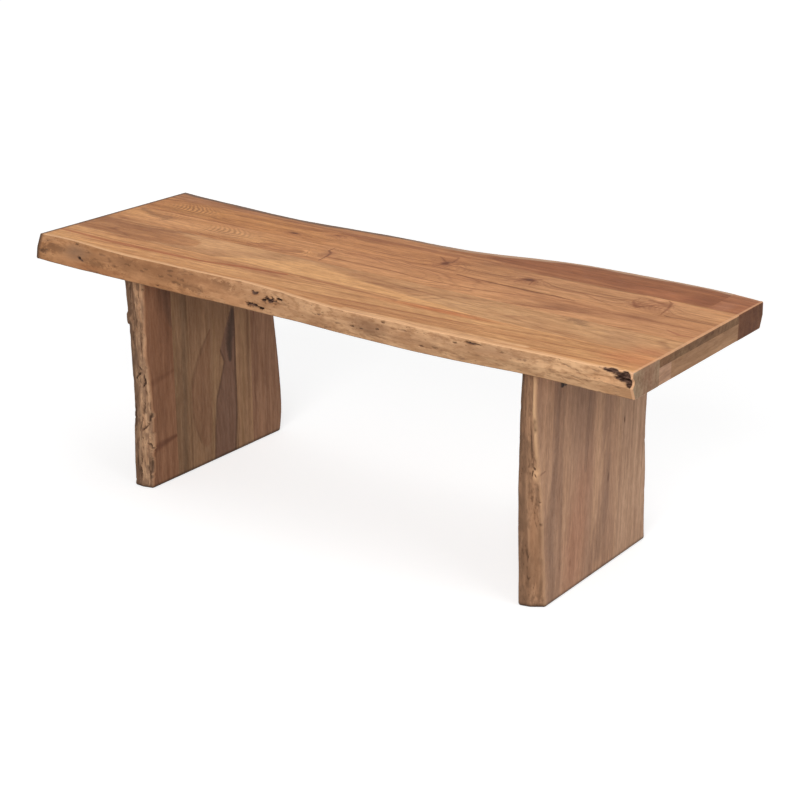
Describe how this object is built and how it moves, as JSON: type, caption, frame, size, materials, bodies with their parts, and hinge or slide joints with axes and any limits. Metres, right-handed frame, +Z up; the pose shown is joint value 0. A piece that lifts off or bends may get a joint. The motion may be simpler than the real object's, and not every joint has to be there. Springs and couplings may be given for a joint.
{
  "type": "dining bench",
  "caption": "Live-edge solid wood dining bench: a glued-up slab seat with natural wavy edges on two wide slab legs, bolted on with hidden steel plates.",
  "frame": {"origin": "on the floor, under the middle of the bench's overall box", "axes": "+X along the bench's length, towards the end with the bark pocket; -Y towards the front; +Z up"},
  "size_m": [1.219, 0.448, 0.457],
  "materials": {
    "seat_wood": "satin clear lacquer",
    "leg_wood": "satin clear lacquer",
    "batten_wood": "planed, thinly sealed",
    "plate_steel": "black powder coat",
    "bolt_steel": "zinc plated",
    "screw_steel": "yellow zinc plated",
    "insert_brass": "turned"
  },
  "bodies": {
    "root": {"seat_front_plank": "seat_wood", "seat_back_plank": "seat_wood", "seat_back_end_block": "seat_wood", "seat_board_front": "seat_wood", "seat_board_middle": "seat_wood", "seat_board_back": "seat_wood", "left_leg_front_plank": "leg_wood", "left_leg_back_plank": "leg_wood", "right_leg_front_plank": "leg_wood", "right_leg_back_plank": "leg_wood", "left_leg_front_stave": "leg_wood", "left_leg_heart_stave": "leg_wood", "left_leg_back_stave": "leg_wood", "right_leg_wide_stave": "leg_wood", "right_leg_back_stave": "leg_wood", "end_batten_left": "batten_wood", "end_batten_right": "batten_wood", "end_filler_block": "batten_wood", "centre_batten": "batten_wood", "leg_batten_left": "batten_wood", "leg_batten_right": "batten_wood", "leg_plate_left": "plate_steel", "leg_plate_right": "plate_steel", "seat_bolts_left": "bolt_steel", "seat_bolts_right": "bolt_steel", "leg_screws_left": "screw_steel", "leg_screws_right": "screw_steel", "threaded_inserts_left": "insert_brass", "threaded_inserts_right": "insert_brass"}
  },
  "joints": []
}
